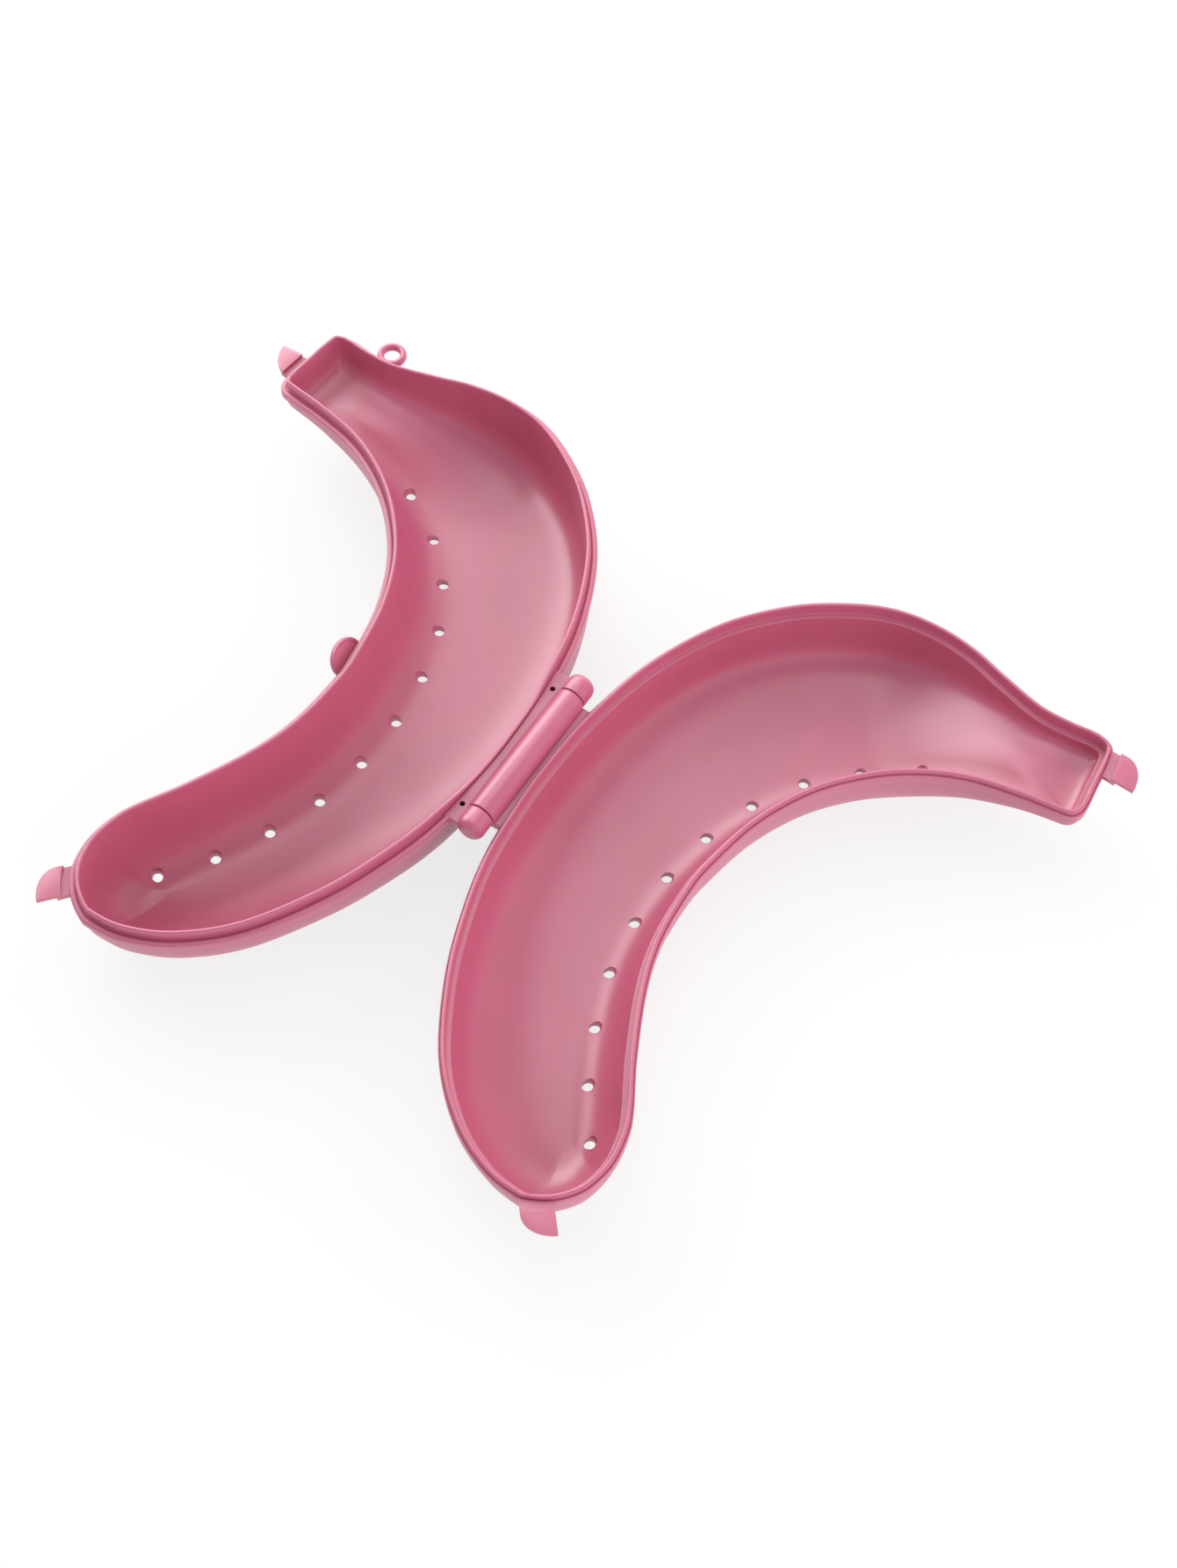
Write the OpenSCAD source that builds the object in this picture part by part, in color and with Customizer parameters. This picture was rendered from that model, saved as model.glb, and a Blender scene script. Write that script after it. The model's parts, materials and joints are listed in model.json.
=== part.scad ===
// Banana carrying case: two moulded halves on a pinned hinge, lying open with both mouths up.
// Millimetres, +Z up, table at z = 0. The hinge axis runs along +Y at x = 0 in the parting plane.
// The base lies at +X and the lid at -X, as its mirror image across the hinge axis.

/* [Case] */
// Reach of each half from the hinge axis to its neck end
reach = 120; // [108:1:132]
// Length of each half along the hinge axis
span = 183; // [168:1:198]
// Depth of the belly below the parting plane
belly_depth = 23; // [20:0.5:26]
// Depth of the neck below the parting plane
neck_depth = 9.8; // [9:0.2:12]
// Thickness of the bowl floors
wall = 1.8; // [1.4:0.1:2.2]

/* [Section] */
// Squareness of the belly on its convex side, two for an ellipse
belly_power_out = 5; // [3:0.1:5.5]
// Squareness of the belly on its concave side
belly_power_in = 2.8; // [2.3:0.1:3.4]
// Squareness of the neck on its convex side
neck_power_out = 4.5; // [3:0.1:5.5]
// Squareness of the neck on its concave side
neck_power_in = 3.4; // [2.6:0.1:4.2]
// Squareness of the neck's end wall
neck_power_end = 4.5; // [3.5:0.5:7]
// Squareness of the tip on its convex side
tip_power_out = 2.5; // [2.1:0.1:2.8]
// Squareness of the tip on its concave side
tip_power_in = 2.3; // [2:0.1:2.6]

/* [Rim] */
// Gap kept between the closed halves
part_gap = 0.3; // [0.3:0.05:0.5]
// Width of the ledge outside the base crest
ledge_w = 0.6; // [0.4:0.1:0.9]
// Drop of the ledge below the base crest
ledge_drop = 1; // [0.6:0.1:1.6]
// Thickness of the base crest
crest_t = 1; // [0.8:0.1:1.3]
// Gap between the base crest and the lid lip
lap_gap = 0.3; // [0.3:0.05:0.5]
// Height of the lid lip above the parting plane
lip_h = 2.8; // [2:0.1:3.4]
// Depth kept free under the lip when the case is closed
lip_room = 0.9; // [0.6:0.1:1.2]
// Thickness of the lid lip
lip_t = 1; // [0.8:0.1:1.4]
// Thickness of the lid flange
flange_t = 2.4; // [2:0.1:2.8]
// Height of the straight band on the base
band_h = 4.6; // [4:0.1:6]
// Step from the band in to the base's bowl
band_in = 0.7; // [0.5:0.1:1]

/* [Vents] */
// Number of vent holes in each half
vents = 11; // [5:1:13]
// Diameter of a vent hole
vent_d = 2.8; // [2:0.1:3.4]

/* [Hinge] */
// Diameter of the hinge barrel and lugs
barrel_d = 7.2; // [6.4:0.1:7.4]
// Length of the barrel
barrel_l = 39; // [33:1:42]
// Length of a lug with its domed end
lug_l = 6; // [5:0.1:8]
// Diameter of the pin
pin_d = 3; // [2.4:0.1:3.4]
// Radial running clearance of the pin in the barrel
pin_run = 0.05; // [0.02:0.01:0.09]
// Gap between the barrel and a lug
lug_gap = 0.35; // [0.3:0.05:0.6]
// Rounding of a lug's closed end
lug_dome = 2.4; // [1.6:0.1:2.8]
// Thickness of a lug's closed end
lug_cap = 1.8; // [1.4:0.1:2.2]
// Gap between the barrel and the flange beside it
barrel_gap = 0.45; // [0.4:0.05:0.5]
// Thickness of the strip that carries the barrel
strip_t = 2.2; // [1.6:0.1:2.6]
// Diameter of the relief holes beside the lugs
relief_d = 1.4; // [1:0.1:1.6]

/* [Latches] */
// Width of the channel between a rim and its leaf
channel = 2; // [1.6:0.1:2.6]
// Reach of a leaf beyond the rim
leaf_reach = 7.8; // [6.6:0.1:9]
// Half length of a leaf pair along the rim
leaf_l = 8.1; // [7:0.1:9.2]
// Drop of a leaf's top below the parting plane
leaf_drop = 0.2; // [0.2:0.1:0.6]
// Thickness of a leaf
leaf_t = 1.1; // [0.9:0.1:1.4]
// Thickness of the riser that carries a leaf
riser_t = 1.2; // [1:0.1:1.6]
// Thickness of the web under the channel
web_t = 1.3; // [1:0.1:1.4]
// Gap between the two leaves of a closed pair
leaf_gap = 0.8; // [0.7:0.1:1.2]
// Length of the side tab along the rim
tab_l = 11; // [9:0.5:13]
// Height of the side tab along its slope
tab_h = 4.5; // [3.5:0.1:5.5]
// Thickness of the side tab
tab_t = 1.6; // [1.2:0.1:1.8]
// Slope of the side tab against the parting plane
tab_lean = 52; // [45:1:60]

/* [Strap ring] */
// Diameter of the hole in the strap ring
ring_hole_d = 4.2; // [3.4:0.1:5]
// Width of the ring's bar
ring_bar = 1.9; // [1.6:0.1:2.2]
// Chamfer of the ring's edges
ring_ease = 0.5; // [0.3:0.1:0.6]

/* [Hidden] */
$fn = 48;
eps = 0.01;

// Outline of one half as drawn at reach 120 and span 183, from the neck round to the tip and back.
// The first point of each list starts its stretch, and the next list carries on from there.
outer_side = [[113, 88], [106, 87.4], [97.5, 87.5], [86.5, 90.3], [75.5, 93.4], [64, 94.4],
    [52.5, 92.6], [41, 87], [29.5, 78.2], [18, 64], [9.4, 44.4], [5.3, 24], [4.2, 6], [4.6, -7],
    [6.2, -22], [9.8, -36], [16.4, -53], [27.2, -71], [39.5, -82.4], [51.4, -88], [60.6, -89]];
tip_end = [[63.6, -88.2], [67.4, -86], [70.8, -82.6], [73.4, -78]];
inner_side = [[74.7, -70.6], [73.4, -62.6], [70.8, -56.6], [64.8, -46], [57.6, -30.6],
    [53.9, -18], [52.7, -4], [53.3, 5], [56.4, 20], [62.5, 33.6], [71, 44.4], [81, 52.6],
    [92.3, 58.2], [104.5, 61], [114.6, 62.4]];
neck_end = [[118.2, 63.2], [120, 65.6], [120.2, 69], [119.6, 75], [118.9, 82], [117.5, 86.4]];
drawn = concat(outer_side, tip_end, inner_side, neck_end);

drawn_reach = 120;
drawn_span = 183;
rim_x = 4.2;
scale_x = (reach - rim_x) / (drawn_reach - rim_x);
scale_y = span / drawn_span;

// Place of a drawn point at the case's own reach and span
function place(p) = [rim_x + (p.x - rim_x) * scale_x, p.y * scale_y];
ctrl = [for (p = drawn) place(p)];
count = len(ctrl);

// Samples taken on each stretch
side_n = 44;
tip_n = 9;
neck_n = 12;
ring_n = 2 * side_n + tip_n + neck_n;

// Point of a smooth curve through p1 and p2, with p0 and p3 as their neighbours
function curve(p0, p1, p2, p3, t) = p1 + t * ((p2 - p0) / 2
    + t * (p0 - 2.5 * p1 + 2 * p2 - p3 / 2 + t * (1.5 * (p1 - p2) + (p3 - p0) / 2)));

// Fine points of the stretch between two control points
function trace(from, to, steps = 8) = [for (i = [from : to - 1], k = [0 : steps - 1])
    curve(ctrl[(i + count - 1) % count], ctrl[i % count], ctrl[(i + 1) % count],
        ctrl[(i + 2) % count], k / steps)];

// Running length of a list of points, as rows of length, x and y
function run(pts) = [for (i = 0, s = 0; i < len(pts);
    s = s + (i + 1 < len(pts) ? norm(pts[i + 1] - pts[i]) : 0), i = i + 1) [s, pts[i].x, pts[i].y]];

// n points spaced evenly from the start of a stretch, without its end
function even(rows, n) =
    let (total = rows[len(rows) - 1][0],
        xs = [for (r = rows) [r[0], r[1]]],
        ys = [for (r = rows) [r[0], r[2]]])
    [for (i = [0 : n - 1]) [lookup(total * i / n, xs), lookup(total * i / n, ys)]];

at_tip = len(outer_side);
at_inner = at_tip + len(tip_end);
at_neck = at_inner + len(inner_side);

function stretch(from, to, n) = even(run(concat(trace(from, to), [ctrl[to % count]])), n);
rim = concat(stretch(0, at_tip, side_n), stretch(at_tip, at_inner, tip_n),
    stretch(at_inner, at_neck, side_n), stretch(at_neck, count, neck_n));

// Inward normal at each rim point
inward = [for (i = [0 : ring_n - 1])
    let (d = rim[(i + 1) % ring_n] - rim[(i + ring_n - 1) % ring_n]) [-d.y, d.x] / norm(d)];

// Rim outline drawn in by a distance
function inset(d) = [for (i = [0 : ring_n - 1]) rim[i] + d * inward[i]];

// Station of each rim point along the half, 0 at the neck and 1 at the tip
station = [for (i = [0 : ring_n - 1])
    i < side_n ? i / side_n
    : i < side_n + tip_n ? 1
    : i < 2 * side_n + tip_n ? 1 - (i - side_n - tip_n) / side_n
    : 0];

// Side of each rim point, 1 on the convex side and 0 on the concave side
convex = [for (i = [0 : ring_n - 1])
    i < side_n ? 1
    : i < side_n + tip_n ? 1 - (i - side_n) / tip_n
    : i < 2 * side_n + tip_n ? 0
    : (i - 2 * side_n - tip_n) / neck_n];

// Point across the half at a station, from 0 on the concave side to 1 on the convex side
function across(s, f) =
    let (k = s * (side_n - 1),
        i = min(floor(k), side_n - 2),
        t = k - i,
        j = 2 * side_n + tip_n - 1 - i,
        outer = rim[i] + t * (rim[i + 1] - rim[i]),
        inner = rim[j] + t * (rim[j - 1] - rim[j]))
    inner + f * (outer - inner);

function blend(a, b, t) = a + (b - a) * t;

// Smooth step from 0 to 1
function ease(x) =
    let (t = min(1, max(0, x)))
    t * t * (3 - 2 * t);

// Belly share at a station: 0 on the neck plateau, 1 in the belly
neck_until = 0.05;
belly_from = 0.25;
function swell(s) = ease((s - neck_until) / (belly_from - neck_until));

// The keel runs along the lowest line of a half, off the middle towards the concave side in the belly
keel_from = 0.04;
keel_to = 0.91;
keel_at_neck = 0.46;
keel_at_belly = 0.36;
function keel_station(s) = keel_from + s * (keel_to - keel_from);
function keel(s) =
    let (t = keel_station(s))
    across(t, blend(keel_at_neck, keel_at_belly, swell(t)));
function floor_z(s) = -blend(neck_depth, belly_depth, swell(keel_station(s)));

// Share of the tip's own section at a station
tip_from = 0.4;
tip_full = 0.85;
function taper(s) = ease((s - tip_from) / (tip_full - tip_from));

// Squareness of the section at a rim point, c is its side
function power(s, c) =
    let (neck = blend(neck_power_in, neck_power_out, c),
        neck_wall = blend(neck, neck_power_end, 4 * c * (1 - c)),
        belly = blend(belly_power_in, belly_power_out, c),
        tip = blend(tip_power_in, tip_power_out, c))
    blend(blend(neck_wall, belly, swell(keel_station(s))), tip, taper(s));

// One loop of the bowl: u runs from 0 at its rim to 1 at the keel, up lifts the floor
function bowl_loop(edge, z0, u, up) = [for (i = [0 : ring_n - 1])
    let (s = station[i],
        e = 2 / power(s, convex[i]),
        f = 1 - pow(cos(90 * u), e),
        g = pow(sin(90 * u), e),
        k = keel(s),
        xy = edge[i] + f * (k - edge[i]))
    [xy.x, xy.y, z0 + g * (floor_z(s) + up - z0)]];

function level(d, z) = [for (p = inset(d)) [p.x, p.y, z]];
function keel_line(up) = [for (i = [0 : side_n]) let (s = i / side_n, k = keel(s))
    [k.x, k.y, floor_z(s) + up]];

steps_u = [0.22, 0.4, 0.56, 0.7, 0.84];

// Closed solid from loops that run from the outer keel over the rim to the inner keel
module loft(loops) {
    m = len(loops);
    low = m * ring_n;
    high = low + side_n + 1;
    key = [for (s = station) round(s * side_n)];
    sides = [for (j = [0 : m - 2], i = [0 : ring_n - 1]) let (n = (i + 1) % ring_n,
        a = j * ring_n + i, b = j * ring_n + n, c = a + ring_n, d = b + ring_n)
        each [[a, b, d], [a, d, c]]];
    under = [for (i = [0 : ring_n - 1]) let (n = (i + 1) % ring_n)
        each concat([[i, low + key[i], n]],
            key[i] == key[n] ? [] : [[n, low + key[i], low + key[n]]])];
    over = [for (i = [0 : ring_n - 1]) let (n = (i + 1) % ring_n, t = (m - 1) * ring_n)
        each concat([[t + i, t + n, high + key[i]]],
            key[i] == key[n] ? [] : [[t + n, high + key[n], high + key[i]]])];
    polyhedron(points = concat([for (l = loops) each l], keel_line(0), keel_line(wall)),
        faces = concat(sides, under, over), convexity = 8);
}

face = part_gap / 2;
crest_in = ledge_w + crest_t;
lip_out = crest_in + lap_gap;
lip_in = lip_out + lip_t;
rebate_z = lip_h + lip_room;
wall_in = lip_in - wall;
flange_low = -face - flange_t;
ledge_z = -face - ledge_drop;
hinge_y = place([0, 5.2]).y;

module half_base() {
    edge_out = inset(band_in);
    edge_in = inset(lip_in);
    loft(concat(
        [for (k = [len(steps_u) - 1 : -1 : 0]) bowl_loop(edge_out, -band_h, steps_u[k], 0)],
        [level(band_in, -band_h), level(0, -band_h), level(0, ledge_z), level(ledge_w, ledge_z),
            level(ledge_w, -face), level(crest_in, -face), level(crest_in, -rebate_z),
            level(lip_in, -rebate_z)],
        [for (u = steps_u) bowl_loop(edge_in, -rebate_z, u, wall)]));
}

module half_lid() {
    edge_out = inset(wall_in);
    edge_in = inset(lip_in);
    loft(concat(
        [for (k = [len(steps_u) - 1 : -1 : 0]) bowl_loop(edge_out, flange_low, steps_u[k], 0)],
        [level(wall_in, flange_low), level(0, flange_low), level(0, -face),
            level(lip_out, -face), level(lip_out, lip_h), level(lip_in, lip_h), level(lip_in, 0)],
        [for (u = steps_u) bowl_loop(edge_in, 0, u, wall)]));
}

// Vents, in a row along the concave side
vent_from = 0.19;
vent_to = 0.92;
vent_across = 0.25;

module vent_row() {
    for (i = [0 : vents - 1]) {
        p = across(blend(vent_from, vent_to, i / (vents - 1)), vent_across);
        translate([p.x, p.y, -belly_depth - 1])
            cylinder(d = vent_d, h = belly_depth);
    }
}

// Small blind holes in the flange where the lugs start
relief_x = 5.5;
relief_deep = flange_t / 2;

module relief_dots() {
    for (dir = [-1, 1])
        translate([relief_x, hinge_y + dir * barrel_l / 2, -face - relief_deep])
            cylinder(d = relief_d, h = 2 * relief_deep);
}

// Places a half with its parting plane above the table
module on_table() {
    translate([0, 0, belly_depth])
        children();
}

module as_lid() {
    on_table()
        mirror([1, 0, 0])
            children();
}

module slab(z0, z1) {
    translate([0, 0, z0])
        linear_extrude(height = z1 - z0)
            children();
}

// Latches: where a leaf pair sits on the rim, and which way it points
neck_spot = place([119.7, 77.1]);
neck_dir = -3;
tip_spot = place([68.6, -85.1]);
tip_dir = -49;

// Quarter of a leaf pair in plan, with its root run in under the rim.
// Side is 1 towards the convex edge and -1 towards the concave one.
module quarter_leaf(spot, dir, side) {
    translate(spot)
        rotate(dir)
            mirror([0, side > 0 ? 0 : 1]) {
                intersection() {
                    translate([channel, 0])
                        scale([leaf_reach - channel, leaf_l])
                            circle(r = 1, $fn = 64);
                    translate([channel, leaf_gap / 2])
                        square([leaf_reach, leaf_l]);
                }
                translate([-leaf_reach, leaf_gap / 2])
                    square([leaf_reach + channel, leaf_l - leaf_gap / 2]);
            }
}

// Part of a quarter leaf that lies further out from the rim than a distance
module leaf_beyond(spot, dir, side, out) {
    difference() {
        quarter_leaf(spot, dir, side);
        polygon(inset(-out));
    }
}

// Thin leaf on a riser, which stands on a web across the channel
module leaf(spot, dir, side) {
    slab(flange_low, -leaf_drop)
        difference() {
            leaf_beyond(spot, dir, side, channel);
            leaf_beyond(spot, dir, side, channel + riser_t);
        }
    slab(flange_low, flange_low + web_t)
        difference() {
            leaf_beyond(spot, dir, side, 0);
            leaf_beyond(spot, dir, side, channel + riser_t);
        }
    slab(-leaf_drop - leaf_t, -leaf_drop)
        leaf_beyond(spot, dir, side, channel);
}

// Side tab: its place on the concave rim, the way the rim runs there and its run into the flange
tab_spot = place([53.2, 4.6]);
tab_dir = -8.5;
tab_root = flange_t;

module along_hinge(y) {
    translate([0, y, 0])
        rotate([-90, 0, 0])
            children();
}

// Half of a lug's outline, turned about the hinge axis
module lug_profile() {
    r = barrel_d / 2 - lug_dome;
    polygon(concat([[0, 0], [barrel_d / 2, 0]],
        [for (a = [0 : 15 : 90]) [r + lug_dome * cos(a), lug_l - lug_dome * (1 - sin(a))]],
        [[0, lug_l]]));
}

// Roots of the hinge parts run in under the rim, where the outline cuts them off
root_run = 12;
pin_wall = 0.7;
pin_end_gap = 0.4;

// Lug at one end of the barrel, dir is 1 towards the neck and -1 towards the tip.
// Its root also fills out the flange beside a third of the barrel.
module lug(dir) {
    start = barrel_l / 2 + lug_gap;
    fill = barrel_l / 3;
    translate([0, hinge_y + dir * start, 0])
        rotate([-90 * dir, 0, 0])
            difference() {
                rotate_extrude()
                    lug_profile();
                translate([0, 0, -eps])
                    cylinder(d = pin_d, h = lug_l - lug_cap + eps);
            }
    difference() {
        slab(flange_low, -face)
            difference() {
                translate([0, hinge_y])
                    mirror([0, dir > 0 ? 0 : 1]) {
                        translate([pin_d / 2 + pin_wall, start])
                            square([root_run, lug_l - lug_dome / 2]);
                        translate([barrel_d / 2 + barrel_gap, start - fill])
                            square([root_run, fill + eps]);
                    }
                polygon(inset(0));
            }
        relief_dots();
    }
}

module base_shell() {
    color("palevioletred")
        on_table()
            difference() {
                half_base();
                vent_row();
            }
}

module hinge_barrel() {
    color("hotpink")
        on_table()
            difference() {
                union() {
                    along_hinge(hinge_y - barrel_l / 2)
                        cylinder(d = barrel_d, h = barrel_l);
                    slab(ledge_z - strip_t, ledge_z)
                        difference() {
                            translate([0, hinge_y - barrel_l / 2])
                                square([root_run, barrel_l]);
                            polygon(inset(0));
                        }
                }
                along_hinge(hinge_y - barrel_l / 2 - 1)
                    cylinder(d = pin_d + 2 * pin_run, h = barrel_l + 2);
            }
}

module base_neck_latch() {
    color("lightpink")
        on_table()
            leaf(neck_spot, neck_dir, 1);
}

module base_tip_latch() {
    color("lightpink")
        on_table()
            leaf(tip_spot, tip_dir, -1);
}

module lid_shell() {
    color("palevioletred")
        as_lid()
            difference() {
                half_lid();
                vent_row();
                relief_dots();
            }
}

module hinge_lug_neck() {
    color("hotpink")
        as_lid()
            lug(1);
}

module hinge_lug_tip() {
    color("hotpink")
        as_lid()
            lug(-1);
}

module hinge_pin() {
    reach_in = lug_l - lug_cap - pin_end_gap + lug_gap;
    color("silver")
        on_table()
            along_hinge(hinge_y - barrel_l / 2 - reach_in)
                cylinder(d = pin_d, h = barrel_l + 2 * reach_in);
}

module lid_neck_latch() {
    color("lightpink")
        as_lid()
            leaf(neck_spot, neck_dir, -1);
}

module lid_tip_latch() {
    color("lightpink")
        as_lid()
            leaf(tip_spot, tip_dir, 1);
}

module lid_side_latch() {
    color("lightpink")
        as_lid()
            difference() {
                translate([tab_spot.x, tab_spot.y, -face])
                    rotate([0, 0, tab_dir])
                        rotate([0, -tab_lean, 0])
                            slab(-tab_t, 0) {
                                intersection() {
                                    scale([tab_h, tab_l / 2])
                                        circle(r = 1, $fn = 64);
                                    translate([0, -tab_l / 2])
                                        square([tab_h, tab_l]);
                                }
                                translate([-tab_root, -tab_l / 2])
                                    square([tab_root + eps, tab_l]);
                            }
                slab(flange_low - 2 * tab_root, 2 * tab_h)
                    polygon(inset(0));
                slab(flange_low - 2 * tab_root, flange_low)
                    translate([tab_spot.x - tab_l, tab_spot.y - tab_l])
                        square(2 * tab_l);
            }
}

module strap_ring() {
    r = ring_hole_d / 2;
    far = r + ring_bar;
    h = flange_t / 2;
    spot = place([101.5, 88.1]);
    color("lightpink")
        as_lid()
            difference() {
                translate([spot.x, spot.y + r, -face - h])
                    rotate_extrude()
                        polygon([[r, ring_ease - h], [r + ring_ease, -h], [far - ring_ease, -h],
                            [far, ring_ease - h], [far, h - ring_ease], [far - ring_ease, h],
                            [r + ring_ease, h], [r, h - ring_ease]]);
                slab(flange_low - h, h)
                    polygon(inset(0));
            }
}

base_shell();
hinge_barrel();
base_neck_latch();
base_tip_latch();
lid_shell();
hinge_lug_neck();
hinge_lug_tip();
hinge_pin();
lid_neck_latch();
lid_tip_latch();
lid_side_latch();
strap_ring();
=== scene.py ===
"""Looks of the banana carrying case: two glossy moulded halves on a pinned hinge, lying open.

Each piece is modelled in millimetres in the frame of one half: the hinge axis runs along Y at x = 0, the
parting plane is z = 0 and the half lies at +X. set_down() puts a finished piece into the case, in metres,
as the base half or as its mirror image, the lid half.
"""

import json
import math

import bmesh
import bpy
import numpy as np
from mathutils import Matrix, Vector


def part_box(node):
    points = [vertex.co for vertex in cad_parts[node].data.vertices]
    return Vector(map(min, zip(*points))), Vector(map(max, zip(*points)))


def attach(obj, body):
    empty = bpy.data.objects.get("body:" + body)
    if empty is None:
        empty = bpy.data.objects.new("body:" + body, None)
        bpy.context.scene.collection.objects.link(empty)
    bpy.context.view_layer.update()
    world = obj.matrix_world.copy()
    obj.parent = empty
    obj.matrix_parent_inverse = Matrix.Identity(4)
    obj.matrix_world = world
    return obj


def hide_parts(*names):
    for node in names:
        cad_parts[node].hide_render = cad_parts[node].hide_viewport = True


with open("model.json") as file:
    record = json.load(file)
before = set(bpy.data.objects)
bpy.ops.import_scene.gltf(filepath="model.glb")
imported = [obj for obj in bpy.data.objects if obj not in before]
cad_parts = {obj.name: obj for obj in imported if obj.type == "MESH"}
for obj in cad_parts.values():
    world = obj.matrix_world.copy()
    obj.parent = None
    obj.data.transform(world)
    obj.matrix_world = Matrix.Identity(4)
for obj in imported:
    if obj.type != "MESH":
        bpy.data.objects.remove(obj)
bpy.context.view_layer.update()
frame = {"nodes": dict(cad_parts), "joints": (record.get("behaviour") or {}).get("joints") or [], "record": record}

MM = 0.001
BASE, LID = 1, -1

# What the frame gives: the hinge line, the parting plane and the hinge parts' sizes
hinge_at = frame["joints"][0]["pos_m"]
HINGE_Y = hinge_at[1] / MM
PARTING_Z = hinge_at[2] / MM


def node_size(node):
    """Size of a node's box, in millimetres."""
    low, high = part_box(node)
    return (high - low) / MM


def node_span(node, axis):
    """Lowest and highest coordinate of a node along an axis, in the frame of its half."""
    low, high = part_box(node)
    drop = PARTING_Z if axis == 2 else 0
    return low[axis] / MM - drop, high[axis] / MM - drop


BARREL_L = node_size("hinge_barrel").y
BARREL_R = node_size("hinge_barrel").z / 2
PIN_R = node_size("hinge_pin").x / 2
LUG_GAP, LUG_DOME, LUG_CAP = 0.35, 2.4, 1.8
LUG_L = node_span("hinge_lug_neck", 1)[1] - HINGE_Y - BARREL_L / 2 - LUG_GAP

# Room round the pin, inside a lug and beside the barrel, the strip under the barrel, the relief holes in the
# flange and half the gap between the two lugs' roots
BORE_GAP, PAD_OFF, BARREL_GAP = 0.05, 0.7, 0.2
STRIP_NEAR, STRIP_FAR, STRIP_LOW = 1.8, 5.5, -3.4
RELIEF_X, RELIEF_R = 5.5, 0.7
HALF_GAP = 0.01

# Outline of one half at its rim, from the neck along the convex side to the tip and back
OUTER_SIDE = [
    (113, 88), (106, 87.4), (97.5, 87.5), (86.5, 90.3), (75.5, 93.4), (64, 94.4), (52.5, 92.6),
    (41, 87), (29.5, 78.2), (18, 64), (9.4, 44.4), (5.3, 24), (4.2, 6), (4.6, -7), (6.2, -22),
    (9.8, -36), (16.4, -53), (27.2, -71), (39.5, -82.4), (51.4, -88), (60.6, -89),
]
TIP_END = [(63.6, -88.2), (67.4, -86), (70.8, -82.6), (73.4, -78)]
INNER_SIDE = [
    (74.7, -70.6), (73.4, -62.6), (70.8, -56.6), (64.8, -46), (57.6, -30.6), (53.9, -18), (52.7, -4),
    (53.3, 5), (56.4, 20), (62.5, 33.6), (71, 44.4), (81, 52.6), (92.3, 58.2), (104.5, 61), (114.6, 62.4),
]
NECK_END = [(118.2, 63.2), (120, 65.6), (120.2, 69), (119.6, 75), (118.9, 82), (117.5, 86.4)]

# Points round the rim: along each side, round the tip and across the neck end
SIDE_N, TIP_N, NECK_N = 150, 30, 44
RING = 2 * SIDE_N + TIP_N + NECK_N
CURVE_STEPS, TANGENT_STEP = 24, 3

# Bowl
BELLY_DEPTH = PARTING_Z
NECK_DEPTH = 9.8
WALL = 1.8
NECK_UNTIL, BELLY_FROM, TIP_FROM, TIP_FULL = 0.05, 0.25, 0.4, 0.85
KEEL_FROM, KEEL_TO = 0.04, 0.91
KEEL_AT_NECK, KEEL_AT_BELLY = 0.46, 0.36
BOWL_STEPS, BOWL_CROWDING = 20, 1.3

# Squareness of the bowl's section, two for an ellipse, on its convex and its concave side
BELLY_POWER_OUT, BELLY_POWER_IN = 5.0, 2.8
NECK_POWER_OUT, NECK_POWER_IN, NECK_POWER_END = 4.5, 3.4, 4.5
TIP_POWER_OUT, TIP_POWER_IN = 2.5, 2.3

# Rim: distances in from the outline, and heights from the parting plane
FACE = 0.15
LEDGE_W, LEDGE_DROP, LEDGE_DIP, CREST_T = 0.6, 1.0, 0.5, 1.0
CREST_IN = LEDGE_W + CREST_T
LAP_GAP, LIP_T, LIP_H = 0.3, 1.0, 2.8
LIP_OUT = CREST_IN + LAP_GAP
LIP_IN = LIP_OUT + LIP_T
LIP_LOW, LIP_RUN, LIP_FOOT = 0.3, 16.0, 0.3
GROOVE_W, GROOVE_FLAT, GROOVE_DEPTH = 0.75, 0.2, 0.35
REBATE_Z = LIP_H + 0.9
FLANGE_T = 2.4
BAND_H, BAND_IN = 4.6, 0.7
LID_WALL_IN = LIP_IN - WALL
FLANGE_LOW = -FACE - FLANGE_T

# Radii of the rim's edges and inner corners, and how far its wall runs on below the last of them
EDGE_R, CREST_R, BAND_R, CORNER_R = 0.45, 0.42, 0.35, 0.3
LEDGE_R, DIP_R = 0.2, 0.1
GROOVE_EDGE_R, GROOVE_R, GROOVE_CORNER_R = 0.15, 0.1, 0.06
RUN_ON = 0.45
ARC_STEPS = 4

# Vents: their stations along the half, their place across it and their eased mouths
VENTS, VENT_R = 11, 1.4
VENT_FROM, VENT_RUN, VENT_ACROSS = 0.19, 0.73, 0.25
VENT_EASE, VENT_FLARE = 0.22, 1.3

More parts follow.
